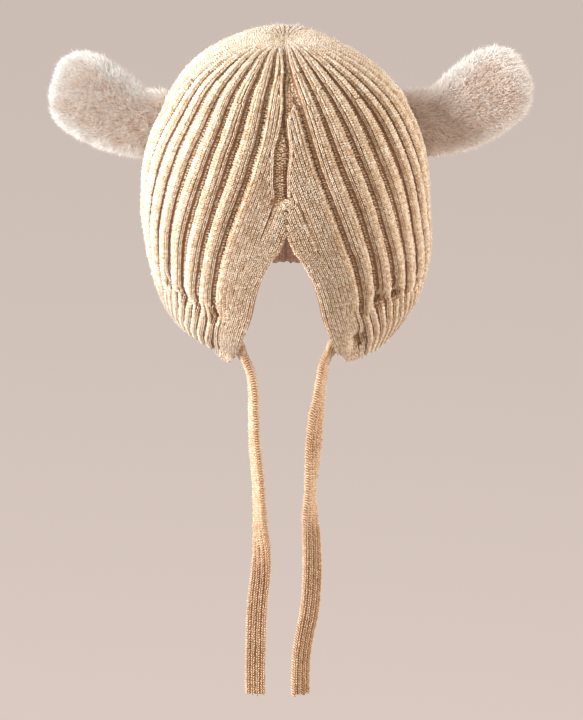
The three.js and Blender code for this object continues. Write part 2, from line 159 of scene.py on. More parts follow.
# Routes of the ties: x, y and z from the widest line, and the turn of the flat side
TIE_ROUTES = {
    "tie_left": [
        (-28.1, -47.5, -52.5, -20), (-26.4, -45.5, -56.0, -27),
        (-23.9, -42.6, -61.0, -58), (-20.9, -41.6, -66.5, -78),
        (-18.2, -41.4, -73.5, -84), (-16.9, -42.0, -82.5, -81), (-16.7, -42.6, -93.0, -78),
        (-16.4, -43.2, -105.0, -75), (-15.6, -43.6, -117.0, -70), (-14.5, -43.6, -129.5, -68),
        (-13.8, -43.2, -142.0, -66), (-13.3, -42.6, -155.0, -56), (-12.6, -42.1, -168.5, -34),
        (-13.3, -41.8, -182.0, -13), (-14.8, -41.7, -195.5, -5), (-15.6, -41.8, -209.0, -3),
        (-15.9, -42.0, -221.5, -3), (-16.1, -42.2, -233.5, -4), (-16.1, -42.3, -246.7, -5),
    ],
    "tie_right": [
        (26.9, -51.6, -51.8, 22), (25.4, -49.3, -55.0, 28),
        (22.9, -45.2, -60.0, 58), (19.6, -42.9, -66.0, 74),
        (17.8, -42.4, -74.5, 75), (16.4, -42.4, -86.0, 66), (14.7, -43.0, -98.0, 52),
        (13.6, -43.4, -110.5, 50), (12.8, -43.4, -123.0, 58), (12.1, -43.0, -135.5, 70),
        (11.7, -42.6, -148.0, 54), (12.6, -42.3, -161.5, 32), (13.1, -42.1, -175.0, 24),
        (12.8, -42.0, -189.0, 20), (11.6, -42.0, -202.5, 18), (9.6, -42.1, -213.0, 22),
        (7.9, -42.2, -223.0, 26), (7.2, -42.3, -234.0, 28), (7.0, -42.4, -246.7, 28),
    ],
}

# The photograph's frame: its height in pixels, millimetres a pixel, the middle of its view
# and the camera's angle and distance
PHOTO_HEIGHT, MM_PER_PIXEL = 720, 0.5086
VIEW_MIDDLE = (2.5, -20.0, -73.7)
CAMERA_TILT, CAMERA_DISTANCE, SENSOR = 18.0, 2500.0, 36.0

# The studio, in metres and watts: each light's name, place, size, power and colour
FLOOR_SIZE, FLOOR_HEIGHT, LIGHT_TARGET = 30.0, -0.75, (0, 0, -0.12)
LIGHTS = [
    ("key", (-1.75, -1.05, 0.7), 0.7, 70, (0.97, 0.98, 1.0)),
    ("fill", (1.7, -0.6, 0.15), 0.7, 21, (1, 0.90, 0.80)),
    ("front", (-0.4, -2.2, 0.4), 0.8, 6, (1, 0.97, 0.93)),
    ("top", (0.1, 0.5, 1.5), 1.0, 7, (1, 1, 1)),
]


def hermite(t, width, start, end, start_slope, end_slope):
    """A cubic from start to end over one stretch of a curve, with t from 0 to 1."""
    return (
        (1 + 2 * t) * (1 - t) ** 2 * start + t * (1 - t) ** 2 * width * start_slope
        + t * t * (3 - 2 * t) * end + t * t * (t - 1) * width * end_slope
    )


def curve(rows, column=1):
    """A smooth function through one column of a table."""
    rows = sorted(rows)
    xs = np.array([r[0] for r in rows], float)
    ys = np.array([r[column] for r in rows], float)
    d = np.diff(ys) / np.diff(xs)
    both = d[1:] * d[:-1]
    total = np.where(both > 0, d[1:] + d[:-1], 1.0)
    slope = np.concatenate([[d[0]], np.where(both > 0, 2 * both / total, 0), [d[-1]]])

    def at(x):
        x = np.clip(x, xs[0], xs[-1])
        i = np.clip(np.searchsorted(xs, x) - 1, 0, len(xs) - 2)
        width = xs[i + 1] - xs[i]
        return hermite((x - xs[i]) / width, width, ys[i], ys[i + 1], slope[i], slope[i + 1])

    return at


def ease(x, low, high):
    """0 up to low and 1 from high on, with a smooth step between them."""
    t = np.clip((x - low) / (high - low), 0, 1)
    return t * t * (3 - 2 * t)


def bell(x, spread):
    """1 at the middle, falling off on both sides."""
    return np.exp(-((x / spread) ** 2))


def unit(v):
    """Directions of length 1."""
    return v / np.maximum(np.linalg.norm(v, axis=-1, keepdims=True), 1e-9)


edge_at, border_at = curve(OPENING_EDGE), curve(BORDER_LINE)
groove_left, groove_right = curve(GROOVE_LEFT), curve(GROOVE_RIGHT)
seam_left, seam_right, seam_crease = curve(SEAM_LEFT), curve(SEAM_RIGHT), curve(SEAM_CREASE)
girth_left, girth_right, girth_back = (curve(GIRTH_BELOW, k) for k in (1, 2, 3))
hem_left, hem_right = curve(HEM_LINE, 1), curve(HEM_LINE, 2)


def hem_rise(az):
    """How far the start of the hem's narrow ribs wanders up and down."""
    return sum(size * np.sin(pace * np.degrees(az) + start) for size, pace, start in HEM_WAVES)


def hem_share(az, h):
    """How far the knit has gone over from wide ribs to the hem's narrow ones."""
    return 1 - ease(h - hem_rise(az), HEM_DONE, HEM_STARTS)


def girth(az, z):
    """Half girth of the cap as a share of its widest."""
    up = np.clip(z / CROWN_RISE, 0, 1)
    above = (1 - up**CROWN_ROUNDNESS) ** (1 / CROWN_ROUNDNESS)
    drop = np.clip(-z / FLAP_DROP, 0, 1)
    right = 0.5 + 0.5 * np.sin(az)
    side = girth_left(drop) * (1 - right) + girth_right(drop) * right
    back = np.clip(-np.cos(az), 0, 1) ** 2
    return np.where(z >= 0, above, side * (1 - back) + girth_back(drop) * back)


def crest(az, z):
    """The line of the rib crests, before ribs and seams are cut into it."""
    g = girth(az, z)
    up = np.clip(z / CROWN_RISE, 0, 1)
    x = HALF_WIDTH * g * np.sin(az) - CROWN_LEAN * up**LEAN_POWER
    y = -np.where(np.cos(az) > 0, FRONT_DEPTH, BACK_DEPTH) * g * np.cos(az)
    away = (x / PUCKER_HALF_WIDTH) ** 2 + ((y - PUCKER_BACK) / PUCKER_HALF_DEPTH) ** 2
    radius = HALF_WIDTH * g
    dimple = DIMPLE_GAIN * CROWN_DIMPLE * bell(radius, DIMPLE_REACH)
    x = x + (CROWN_LEAN - POLE_OFFSET) * bell(radius, POLE_REACH) * (z > 0)
    return np.stack([x, y, z + PUCKER_RISE * up**PUCKER_POWER * np.exp(-away) - dimple], -1)


def crest_normal(az, z):
    """The direction straight out of the crest line's surface."""
    along = crest(az + 0.01, z) - crest(az - 0.01, z)
    high = np.minimum(z + 0.3, CROWN_RISE)
    return unit(np.cross(along, crest(az, high) - crest(az, z - 0.3)))


def height_of(az, h):
    """Millimetres above the widest line for a height share."""
    turned = np.abs(np.degrees(az))
    right = 0.5 + 0.5 * np.sin(az)
    hem = hem_left(turned) * (1 - right) + hem_right(turned) * right
    return np.where(h >= 0, h * CROWN_RISE, h * FLAP_DROP * hem)


def height_at_radius(radius):
    """The height share at which the crown's rows have this radius."""
    return (1 - (radius / HALF_WIDTH) ** CROWN_ROUNDNESS) ** (1 / CROWN_ROUNDNESS)


def groove_at(h, side):
    """Where the ribs start beside the front band, in degrees."""
    middle = np.where(side < 0, groove_left(h), groove_right(h))
    pitches = RIBS + BACK_GROOVE
    return (middle - GROOVE_MIDDLE * 180 / pitches) / (1 - GROOVE_MIDDLE / pitches)


def pitch_at(h, side):
    """Degrees from one groove to the next."""
    return (180 - groove_at(h, side)) / (RIBS + BACK_GROOVE)


def wobble(f, h, side):
    """How far a rib strays from its place, as a share of the pitch."""
    return sum(size * np.sin(a * h + b * f + c * side) for size, a, b, c in RIB_WAVES)


def dome(near, floor, power=2.2, lift=0.8):
    """A rounded rib: 0 in its groove and 1 on its crest."""
    t = np.clip((near - floor) / (0.5 - floor), 0, 1)
    return (1 - (1 - t) ** power) ** lift


def pit_depth(signed, h):
    """How deep the pits and hollows lie at a signed azimuth in degrees."""
    depth = 0.0
    for pit_az, pit_h, deep, spread, tall in PITS:
        depth = depth + deep * bell(signed - pit_az, spread) * bell(h - pit_h, tall)
    return depth


def level(az, h):
    """How high the knit stands off the crest line."""
    signed = np.degrees(az)
    a, side = np.abs(signed), np.where(az < 0, -1.0, 1.0)
    groove, pitch, border = groove_at(h, side), pitch_at(h, side), border_at(h)
    f = (a - groove) / pitch
    f = f + wobble(f, h, side) * ease(f, 0, 1)
    radius = HALF_WIDTH * girth(az, height_of(az, h))
    per_degree = radius * math.pi / 180

    cycle = np.abs((f - GROOVE_MIDDLE + 0.5) % 1 - 0.5)
    near = np.where(f < GROOVE_MIDDLE, np.minimum(GROOVE_MIDDLE - f, 0.5), cycle)
    deep = 1 + RIB_UNEVEN * np.sin(1.1 * f + 3 * h + side)
    wide = -RIB_DEPTH * deep * (1 - dome(near, 0.04))
    fine_near = np.abs(((f - GROOVE_MIDDLE) * 2 + 0.5) % 1 - 0.5)
    fine_near = np.where(f < GROOVE_MIDDLE - 0.5, 0.5, fine_near)
    fine = -HEM_RIB_DEPTH * deep * (1 - dome(fine_near, 0.05, 2.0, 0.8))
    hem = hem_share(az, h)
    ribs = wide * (1 - hem) + fine * hem

    dent = -pit_depth(signed, h)
    dent = dent - HEM_DENT * bell(h - hem_rise(az) - DENT_LINE, DENT_REACH) * ease(f, 0, 1)

    beyond = (signed - side * border) * per_degree
    front = -(BORDER_DEPTH + BORDER_DEEPER * ease(h, 0, 0.2))
    front = front * ease(beyond, -0.8, 0) * (1 - ease(beyond, 0, BORDER_REACH))
    front = front * ease(h, -0.5, 0.1) * (1 - ease(h, SEAM_ENDS, SEAM_ENDS + 0.03))
    split = (h < SEAM_ENDS + 0.01) * (h > SLIT_TOP)
    front -= SPLIT_DEPTH * bell(a * per_degree, SPLIT_REACH) * split
    left = ease((signed - seam_left(h)) * per_degree, -0.5, 0.7)
    right = ease((seam_right(h) - signed) * per_degree, -0.5, 0.9)
    above_border = np.maximum(ease(a - border, 0.2, 0.8), h > SEAM_ENDS)
    seam = ease(h, WEDGE_ENDS, WEDGE_ENDS + 0.02) * above_border
    front -= WEDGE_DEPTH * left * right * seam
    front -= CREASE_DEPTH * bell((signed - seam_crease(h)) * per_degree, CREASE_REACH) * seam
    front -= EDGE_DEPTH * bell((a - edge_at(h)) * per_degree, EDGE_REACH) * (h < SLIT_TOP)

    fade = np.clip(radius / RIB_FADE_RADIUS, LEAST_FADE, 1)
    return (ribs + dent) * fade + front * np.clip(radius / 30, 0.05, 1)


def knit(az, h, rise=0.0):
    """A point of the ribbed cap, raised by rise."""
    z = height_of(az, h)
    up = (level(az, h) + rise)[..., None]
    return crest(az, z) + crest_normal(az, z) * up


def placed(points):
    """Points in the frame, in metres, from millimetres about the widest line."""
    return (points - np.array([0, 0, CROWN_SEAT])) * MM


def quads(a, b, c, d):
    """Faces with four corners, from four grids of point numbers."""
    return np.stack([a.ravel(), b.ravel(), c.ravel(), d.ravel()], -1)


def halves(faces):
    """Every face with four corners as two triangles."""
    return np.concatenate([faces[:, [0, 1, 2]], faces[:, [0, 2, 3]]])


def joined(parts):
    """Several sets of points, faces and further arrays as one set."""
    points, faces, *further = zip(*parts)
    starts = np.cumsum([0] + [len(p) for p in points[:-1]])
    faces = [f + start for f, start in zip(faces, starts)]
    return [np.concatenate(arrays) for arrays in (points, faces, *further)]


def add_object(name, data):
    ob = bpy.data.objects.new(name, data)
    bpy.context.scene.collection.objects.link(ob)
    return ob


def add_mesh(name, points, faces, material, uv=None, tone=None):
    """A smooth mesh object from arrays: points in millimetres from the widest line."""
    me = bpy.data.meshes.new(name)
    me.vertices.add(len(points))
    me.vertices.foreach_set("co", placed(points).astype(np.float32).ravel())
    count, corners = faces.shape
    me.loops.add(count * corners)
    me.loops.foreach_set("vertex_index", faces.astype(np.int32).ravel())
    me.polygons.add(count)
    me.polygons.foreach_set("loop_start", np.arange(0, count * corners, corners, dtype=np.int32))
    me.polygons.foreach_set("use_smooth", np.ones(count, bool))
    if uv is not None:
        layer = me.uv_layers.new(name="OFBake")
        layer.data.foreach_set("uv", uv[faces.ravel()].astype(np.float32).ravel())
    if tone is not None:
        shades = me.attributes.new("tone", "FLOAT", "POINT")
        shades.data.foreach_set("value", tone.astype(np.float32))
    me.update(calc_edges=True)
    me.materials.append(material)
    ob = add_object(name, me)
    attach(ob, "root")
    return ob


# Materials


def node_tools(name):
    m = bpy.data.materials.new(name)
    m.use_nodes = True
    return m, m.node_tree, m.node_tree.nodes["Principled BSDF"]


def set_inputs(node, **values):
    """Sets a node's inputs by their names, with a low line for each space."""
    for name, value in values.items():
        node.inputs[name.replace("_", " ")].default_value = value


def noise(nt, scale, detail):
    coords = nt.nodes.new("ShaderNodeTexCoord")
    n = nt.nodes.new("ShaderNodeTexNoise")
    set_inputs(n, Scale=scale, Detail=detail)
    nt.links.new(coords.outputs["Object"], n.inputs["Vector"])
    return n.outputs["Fac"]


def ramp(nt, source, stops):
    r = nt.nodes.new("ShaderNodeValToRGB")
    while len(r.color_ramp.elements) < len(stops):
        r.color_ramp.elements.new(0.5)
    for e, (at, colour) in zip(r.color_ramp.elements, stops):
        e.position = at
        e.color = (*colour, 1)
    nt.links.new(source, r.inputs["Fac"])
    return r.outputs["Color"]


def tone_ramp(nt, stops):
    """Colours for the tone that every point of a mesh carries."""
    tone = nt.nodes.new("ShaderNodeAttribute")
    tone.attribute_name = "tone"
    return ramp(nt, tone.outputs["Fac"], stops)


def multiply(nt, a, b):
    mix = nt.nodes.new("ShaderNodeMix")
    mix.data_type = "RGBA"
    mix.blend_type = "MULTIPLY"
    set_inputs(mix, Factor=1.0)
    nt.links.new(a, mix.inputs["A"])
    nt.links.new(b, mix.inputs["B"])
    return mix.outputs["Result"]


def add_bump(nt, shader, source, strength, distance):
    bump = nt.nodes.new("ShaderNodeBump")
    set_inputs(bump, Strength=strength, Distance=distance)
    nt.links.new(source, bump.inputs["Height"])
    nt.links.new(bump.outputs["Normal"], shader.inputs["Normal"])


def wool(name, dark, light, fibre=0.5):
    """Matt wool: broad patches of two shades, a tone for each stitch that holds its own random shade
    and painted shade, and fine fibres.
    """
    m, nt, shader = node_tools(name)
    patches = ramp(nt, noise(nt, 60, 3), [(0.35, dark), (0.65, light)])
    # The tone runs from dark brown painted shade up to full colour
    tones = tone_ramp(nt, [(0, (0.30, 0.17, 0.09)), (0.5, (0.70, 0.54, 0.39)), (0.85, (1, 1, 1))])
    colour = multiply(nt, patches, tones)
    heather = ramp(nt, noise(nt, 1100, 2), [(0.34, (0.72, 0.62, 0.50)), (0.54, (1, 1, 1))])
    nt.links.new(multiply(nt, colour, heather), shader.inputs["Base Color"])
    add_bump(nt, shader, noise(nt, 2600, 3), fibre, 0.0002)
    set_inputs(shader, Roughness=0.92, Specular_IOR_Level=0.2, Sheen_Weight=0.25, Sheen_Roughness=0.5)
    return m


def plush(name, root, middle, tip):
    """Pile that lightens from root to tip, with soft darker patches."""
    m, nt, shader = node_tools(name)
    along = tone_ramp(nt, [(0, root), (0.45, middle), (1, tip)])
    patches = ramp(nt, noise(nt, 160, 3), [(0.3, (0.93, 0.90, 0.88)), (0.62, (1, 1, 1))])
    nt.links.new(multiply(nt, along, patches), shader.inputs["Base Color"])
    set_inputs(shader, Roughness=0.8, Specular_IOR_Level=0.25, Sheen_Weight=0.3, Sheen_Roughness=0.4)
    return m


WOOL = wool("rib_wool", (0.95, 0.84, 0.69), (1.0, 0.92, 0.80))
# Dark brown painted shade for the cloth under the stitches, which shows in the gaps between them
WOOL_GAP_SHADE = wool("gap_shade_wool", (0.27, 0.14, 0.075), (0.34, 0.19, 0.11), 0.8)
WOOL_INSIDE = wool("inside_wool", (0.95, 0.72, 0.60), (1.0, 0.80, 0.69))
WOOL_TIE = wool("tie_wool", (0.93, 0.78, 0.61), (1.0, 0.88, 0.72))
PLUSH = plush("ear_pile", (0.62, 0.43, 0.32), (0.93, 0.80, 0.70), (1.0, 0.99, 0.97))


def purl_side(m, columns, rows):
    """Small purl bumps over a surface, laid out on its map, with painted shade between them and a faint
    painted glow.
    """
    nt = m.node_tree
    shader = nt.nodes["Principled BSDF"]
    coords = nt.nodes.new("ShaderNodeUVMap")
    coords.uv_map = "OFBake"
    mapping = nt.nodes.new("ShaderNodeMapping")
    cells = nt.nodes.new("ShaderNodeTexVoronoi")
    set_inputs(mapping, Scale=(columns, rows, 1))
    set_inputs(cells, Scale=1, Randomness=0.45)
    nt.links.new(coords.outputs["UV"], mapping.inputs["Vector"])
    nt.links.new(mapping.outputs["Vector"], cells.inputs["Vector"])
    # Painted shade between the purl bumps, which also gives their bump
    dark = ramp(nt, cells.outputs["Distance"], [(0.2, (1, 1, 1)), (0.65, (0.5, 0.4, 0.34))])
    old = shader.inputs["Base Color"].links[0].from_socket
    nt.links.new(multiply(nt, old, dark), shader.inputs["Base Color"])
    add_bump(nt, shader, dark, 0.9, 0.0008)
    # A faint pinkish painted glow that lightens the inside, which little light reaches
    set_inputs(shader, Emission_Color=(0.8, 0.5, 0.38, 1), Emission_Strength=0.1)


# The cap's cloth: an outer and an inner skin on one grid


def cap_azimuths(h, side):
    """Azimuths of the grid's columns on one side in a row, in degrees."""
    edge, groove, pitch = edge_at(h), groove_at(h, side), pitch_at(h, side)
    front = edge + (groove - edge) * np.linspace(0, 1, FRONT_CELLS + 1)[:-1]
    ribs = groove + pitch * np.linspace(0, RIBS, RIBS * RIB_CELLS + 1)
    return np.concatenate([front, ribs, [180.0]])


def make_cap():
    """The outer skin with its rims, and the inner skin."""
    hs = np.concatenate([
        height_at_radius(np.array(CROWN_RADII)), np.linspace(0.98, 0.90, 8),
        np.linspace(0.885, 0.115, 40), np.linspace(0.1, -1, 62),
    ])
    left, right = (np.stack([cap_azimuths(h, side) for h in hs]) for side in (-1, 1))
    az = np.radians(np.concatenate([right, -left[:, -2::-1]], axis=1))
    rows, cols = az.shape
    hh = np.repeat(hs[:, None], cols, axis=1)
    outer, inner = knit(az, hh, -KNIT_SINK - BASE_SINK), knit(az, hh, -KNIT_SINK - WALL)
    pole = rows * cols
    ids = np.arange(pole).reshape(rows, cols)
    closed = right[:, 0] <= 0
    ids[closed, -1] = ids[closed, 0]

    # The rims over the cloth's thickness: the hem and both sides of the slit
    slit = np.nonzero(closed)[0][-1]
    rim = np.concatenate([ids[-1], ids[slit:, 0], ids[slit:, -1]])
    hem, one, two = np.split(pole + 1 + np.arange(len(rim)), [cols, cols + rows - slit])
    rims = [
        quads(ids[-1, :-1], hem[:-1], hem[1:], ids[-1, 1:]),
        quads(ids[slit:-1, 0], one[:-1], one[1:], ids[slit + 1:, 0]),
        quads(ids[slit:-1, -1], ids[slit + 1:, -1], two[1:], two[:-1]),
    ]

    def skin(points, name, material, shift, turned):
        """One skin of the cloth: the outer one has the rims, the inner one is turned."""
        faces = [
            quads(ids[:-1, :-1], ids[1:, :-1], ids[1:, 1:], ids[:-1, 1:]),
            quads(np.full(cols - 1, pole), ids[0, :-1], ids[0, 1:], ids[0, 1:]),
        ]
        flat = [points.reshape(-1, 3), points[0].mean(axis=0)[None]]
        around = np.stack([0.25 + shift + az / (4 * math.pi) * 0.98, 0.5 + 0.49 * hh], -1)
        uv = [around.reshape(-1, 2), np.array([[0.25 + shift, 0.995]])]
        if not turned:
            faces += rims
            flat.append(inner.reshape(-1, 3)[rim])
            uv.append(uv[0][rim])
        tris = halves(np.concatenate(faces))
        if turned:
            tris = tris[:, ::-1]
        a, b, c = tris.T
        used, tris = np.unique(tris[(a != b) & (b != c) & (a != c)], return_inverse=True)
        points, uv = np.concatenate(flat)[used], np.concatenate(uv)[used]
        return add_mesh(name, points, tris.reshape(-1, 3), material, uv, np.ones(len(used)))

    # The outer skin lies sunk under the stitches and carries the painted shade of the gaps between them
    cap = skin(outer, "cap_cloth", WOOL_GAP_SHADE, 0, False)
    skin(inner, "cap_inside", WOOL_INSIDE, 0.5, True)
    return cap


# Stitches: each is placed by its azimuth and height, with a path that it follows


class Wales:
    """Collects stitch places along the knit's columns."""

    HEIGHTS = np.concatenate([
        height_at_radius(np.arange(1.6, 38, 0.4)), np.linspace(0.892, -0.999, 300)
    ])

    def __init__(self, seed):
        self.random = np.random.default_rng(seed)
        self.rows = []

    def add(self, az_of, h_high, h_low, width_of, valid=None, spacing=STITCH_HEIGHT, tone=1.0):
        """Stitches down one column, with its azimuth and width as functions of the height."""
        h = self.HEIGHTS[(self.HEIGHTS <= h_high) & (self.HEIGHTS >= h_low)]
        az = az_of(h)
        p = crest(az, height_of(az, h))
        length = np.concatenate([[0], np.cumsum(np.linalg.norm(np.diff(p, axis=0), axis=1))])
        s = np.arange(self.random.uniform(0.2, 0.8) * spacing, length[-1], spacing)
        at = np.interp(s, length, h)
        low = np.interp(s + 0.4, length, h)
        if valid is not None:
            some = valid(at)
            at, low = at[some], low[some]
        if not len(at):
            return
        low = np.minimum(low, at - 1e-5)
        self.rows.append(np.stack([
            az_of(at), at, az_of(low), low, width_of(at), np.full(len(at), spacing),
            np.full(len(at), tone),
        ], -1))

    def frames(self):
        """Point, down, across and outward directions, width and height of each stitch."""
        r = np.concatenate(self.rows)
        az, h, az2, h2, width, tall, tone = r.T
        p = knit(az, h, -KNIT_SINK)
        down = unit(knit(az2, h2, -KNIT_SINK) - p)
        turn = 0.35 / np.maximum(HALF_WIDTH * girth(az, height_of(az, h)), 1)
        along = knit(az + turn, h) - knit(az - turn, h)
        out = np.cross(along, -down)
        facing = np.sum(out * crest_normal(az, height_of(az, h)), axis=1, keepdims=True)
        out = unit(out * np.sign(facing))
        across = unit(np.cross(down, out))
        return p, down, across, out, width, tall, az, h, tone


# One leg of a plain stitch and the bump of a purl one: across, down, half breadth and rise
LEG = [(0.02, 0.73, 0.0, -0.5), (0.12, 0.27, 0.155, 0.9), (0.265, -0.26, 0.155, 1.0),
       (0.40, -0.65, 0.0, -0.4)]
PURL = [(-0.54, 0.42, 0.0, -0.5), (-0.20, -0.18, 0.20, 1.0), (0.20, -0.18, 0.20, 1.0),
        (0.54, 0.42, 0.0, -0.5)]


def spindles(place, template, mirror, relief, random, jitter):
    """Points and faces of one small spindle on each place, from a template of rings."""
    p, down, across, out, width, tall = place[:6]
    n = len(p)
    sway = 1 + random.normal(0, jitter, n)
    lift = 1 + random.normal(0, 0.18, n)
    shift = random.normal(0, jitter, (n, 2))

    def at(b, t, rise):
        b = mirror * b * sway + shift[:, 0] * 0.5
        t = t + shift[:, 1]
        return (
            p + across * (b * width)[:, None] + down * (t * tall)[:, None]
            + out * (rise * relief * lift)[:, None]
        )

    flat = []
    for i, (b, t, half, rise) in enumerate(template):
        if i in (0, len(template) - 1):
            flat.append(at(b, t, rise))
            continue
        (b0, t0), (b1, t1) = template[i - 1][:2], template[i + 1][:2]
        run, fall = (b1 - b0) * STITCH_WIDTH, (t1 - t0) * STITCH_HEIGHT
        size = half * STITCH_WIDTH / math.hypot(run, fall)
        db, dt = fall * size / STITCH_WIDTH, -run * size / STITCH_HEIGHT
        flat += [at(b - db, t - dt, -SIDE_SINK), at(b, t, rise), at(b + db, t + dt, -SIDE_SINK)]
    each = len(flat)
    local = np.array([
        (0, 1, 2), (0, 2, 3), (1, 4, 5), (1, 5, 2), (2, 5, 6), (2, 6, 3), (4, 7, 5), (5, 7, 6),
    ])
    if mirror < 0:
        local = local[:, ::-1]
    faces = (np.arange(n)[:, None, None] * each + local[None]).reshape(-1, 3)
    return np.stack(flat, axis=1).reshape(-1, 3), faces, each


def strand_tones(tone, template, each):
    """Each point's tone, with painted shade: darker at a strand's ends and sides, where they tuck under
    other yarn, and low down a leg.
    """
    shade = np.zeros(each)
    shade[[0, 1, 3, 4, 6, -1]] = -END_SHADE
    shade[2] = -LOW_SHADE if template is LEG else 0
    return np.clip(tone[:, None] + shade, 0, 1).ravel()


def chart(place, points, each):
    """Map coordinates of stitches: round the cap and down it, a little apart."""
    az, h = place[6], place[7]
    u, v = az / (2 * math.pi) + 0.5, 0.5 + 0.49 * h
    p, down, across = place[:3]
    local = points.reshape(len(p), each, 3) - p[:, None]
    b = np.einsum("nij,nj->ni", local, across)
    t = np.einsum("nij,nj->ni", local, down)
    round_girth = 2 * math.pi * np.maximum(HALF_WIDTH * girth(az, height_of(az, h)), 6)
    u, v = u[:, None] + b / round_girth[:, None], v[:, None] - t / CHART_HEIGHT
    return np.stack([u, v], -1).reshape(-1, 2)


def radius_at(h):
    """The cap's half girth at its side, in millimetres."""
    side = np.full(np.shape(h), math.pi / 2)
    return np.maximum(HALF_WIDTH * girth(side, height_of(side, h)), 0.5)


def degrees_of(mm, h):
    return np.degrees(mm / radius_at(h))


def even(width):
    """The width of a column that stays the same all the way."""
    return lambda h: np.full(len(h), width)


def rib_path(side, f):
    """Azimuth of a place counted in ribs from the first groove."""
    def az_of(h):
        g = f - wobble(f, h, side) * ease(np.asarray(float(f)), 0, 1)
        return side * np.radians(groove_at(h, side) + pitch_at(h, side) * g)
    return az_of


def hem_turn(path):
    """The height at which a column goes over into the hem."""
    return HEM_TURN + float(hem_rise(path(np.array(HEM_TURN))))


def rib_width(side, share):
    """The width of a share of a rib, in millimetres."""
    return lambda h: share * pitch_at(h, side) * radius_at(h) * math.pi / 180


def within(width, least, most):
    """Where a width lies between two others."""
    return lambda h: (width(h) >= least) & (width(h) < most)


def collect_ribs(plain, purl):
    """The columns of the ribs: plain on the crests, purl in the grooves."""
    for side in (-1, 1):
        crest_mm, groove_mm = rib_width(side, CREST_SHARE), rib_width(side, PURL_SHARE)
        fine_plain = rib_width(side, FINE_PLAIN * CREST_SHARE)
        fine_purl = rib_width(side, FINE_PURL * CREST_SHARE)
        for rib in range(RIBS):
            groove = rib + GROOVE_MIDDLE
            shift = 1 + 0.12 * math.sin(2.3 * rib + side)
            for n, least, most in CREST_ZONES:
                room = within(crest_mm, least * shift, most * shift)
                for j in range(n):
                    path = rib_path(side, groove + 0.5 + CREST_SHARE * ((j + 0.5) / n - 0.5))
                    plain.add(path, 1, hem_turn(path), rib_width(side, CREST_SHARE / n), room)
            if rib % 2 == 0:
                room = within(crest_mm, 0.1, 0.85 * shift)
                width = rib_width(side, 2.6 * CREST_SHARE)
                plain.add(rib_path(side, groove + 1), 1, 0.95, width, room)
            for part in (0.25, 0.75):
                for j in (-0.5, 0.5):
                    path = rib_path(side, groove + part + j * FINE_SPACING)
                    plain.add(path, hem_turn(path) + 0.006, -0.997, fine_plain)
            for part in (0, 0.5):
                path = rib_path(side, groove + part)
                purl.add(path, hem_turn(path), -0.99, fine_purl, tone=PURL_SHADED_TONE)
        for rib in range(RIBS + 1):
            for n, least, most in GROOVE_ZONES:
                room = within(groove_mm, least, most)
                width = rib_width(side, 0.85 * PURL_SHARE / n)
                for j in range(n):
                    f = rib + GROOVE_MIDDLE + PURL_SHARE * ((j + 0.5) / n - 0.5)
                    if rib == RIBS and f > RIBS + BACK_GROOVE:
                        continue
                    path = rib_path(side, f)
                    purl.add(path, 0.997, hem_turn(path), width, room, tone=PURL_SHADED_TONE)


def band_start(h, side):
    return groove_at(h, side) + (GROOVE_MIDDLE - GROOVE_HALF) * pitch_at(h, side)


def seam_edge(h, side):
    return seam_left(h) if side < 0 else seam_right(h)


def band_column(side, j):
    """The path of a column in the band beside the seam, and where it has room."""
    def path(h):
        return side * np.radians(band_start(h, side) - degrees_of((j + 0.5) * STITCH_WIDTH, h))

    def has_room(h):
        turned = side * np.degrees(path(h))
        inside = turned > side * seam_edge(h, side) + degrees_of(0.85 * STITCH_WIDTH, h)
        beside = turned > border_at(h) - degrees_of(0.25 * STITCH_WIDTH, h)
        return np.where(h > WEDGE_ENDS, inside & beside, beside)

    return path, has_room


def selvedge(side):
    """The column that follows the wedge's side."""
    def path(h):
        return np.radians(seam_edge(h, side) + side * degrees_of(0.4 * STITCH_WIDTH, h))

    def has_room(h):
        room = degrees_of(0.3 * STITCH_WIDTH, h)
        return side * np.degrees(path(h)) < band_start(h, side) - room

    return path, has_room


def border_degrees(h):
    return np.where(h > SLIT_TOP, degrees_of(BORDER_WIDTH, h), border_at(h) - edge_at(h))


def border_width(h):
    return border_degrees(h) / BORDER_COLUMNS * radius_at(h) * math.pi / 180


def border_column(side, j):
    """A column of the border, down to the edge of the opening."""
    def path(h):
        return side * np.radians(border_at(h) - (j + 0.5) / BORDER_COLUMNS * border_degrees(h))

    def has_room(h):
        return np.degrees(path(h)) * side > edge_at(h) + np.where(h > SLIT_TOP, 0.25, 0.1)

    return path, has_room


def wedge_column(j):
    """A column of the purl wedge, from its left side."""
    def path(h):
        return np.radians(seam_left(h) + degrees_of((j + 0.5) * SEAM_PITCH, h))

    def has_room(h):
        signed = np.degrees(path(h))
        beside = np.abs(signed) > border_at(h) + 0.3
        return (signed < seam_right(h) - degrees_of(0.3, h)) & ((h > SEAM_ENDS) | beside)

    return path, has_room


def collect_front(plain, purl):
    """The columns of the bands, of the border, of the wedge and of the border's middle."""
    for side in (-1, 1):
        for j in range(BAND_COLUMNS):
            path, room = band_column(side, j)
            plain.add(path, 0.99, -0.995, even(STITCH_WIDTH), room)
        path, room = selvedge(side)
        plain.add(path, 0.99, SEAM_ENDS, even(STITCH_WIDTH), room)
        for j in range(BORDER_COLUMNS):
            path, room = border_column(side, j)
            plain.add(path, SEAM_ENDS - 0.005, -0.995, border_width, room)
    for j in range(SEAM_COLUMNS):
        path, room = wedge_column(j)
        purl.add(path, 0.985, WEDGE_ENDS, even(SEAM_WIDTH), room, SEAM_PITCH, SEAM_SHADED_TONE)
    purl.add(np.zeros_like, SEAM_ENDS, SLIT_TOP, even(SPLIT_WIDTH), None, 1.0, SPLIT_SHADED_TONE)


def groove_share(az, h):
    """How far the nearest groove's middle is, in ribs."""
    side = np.where(az < 0, -1.0, 1.0)
    f = (np.abs(np.degrees(az)) - groove_at(h, side)) / pitch_at(h, side)
    near = np.abs((f - GROOVE_MIDDLE + 0.5) % 1 - 0.5)
    return np.where(f < GROOVE_MIDDLE, GROOVE_MIDDLE - f, near)


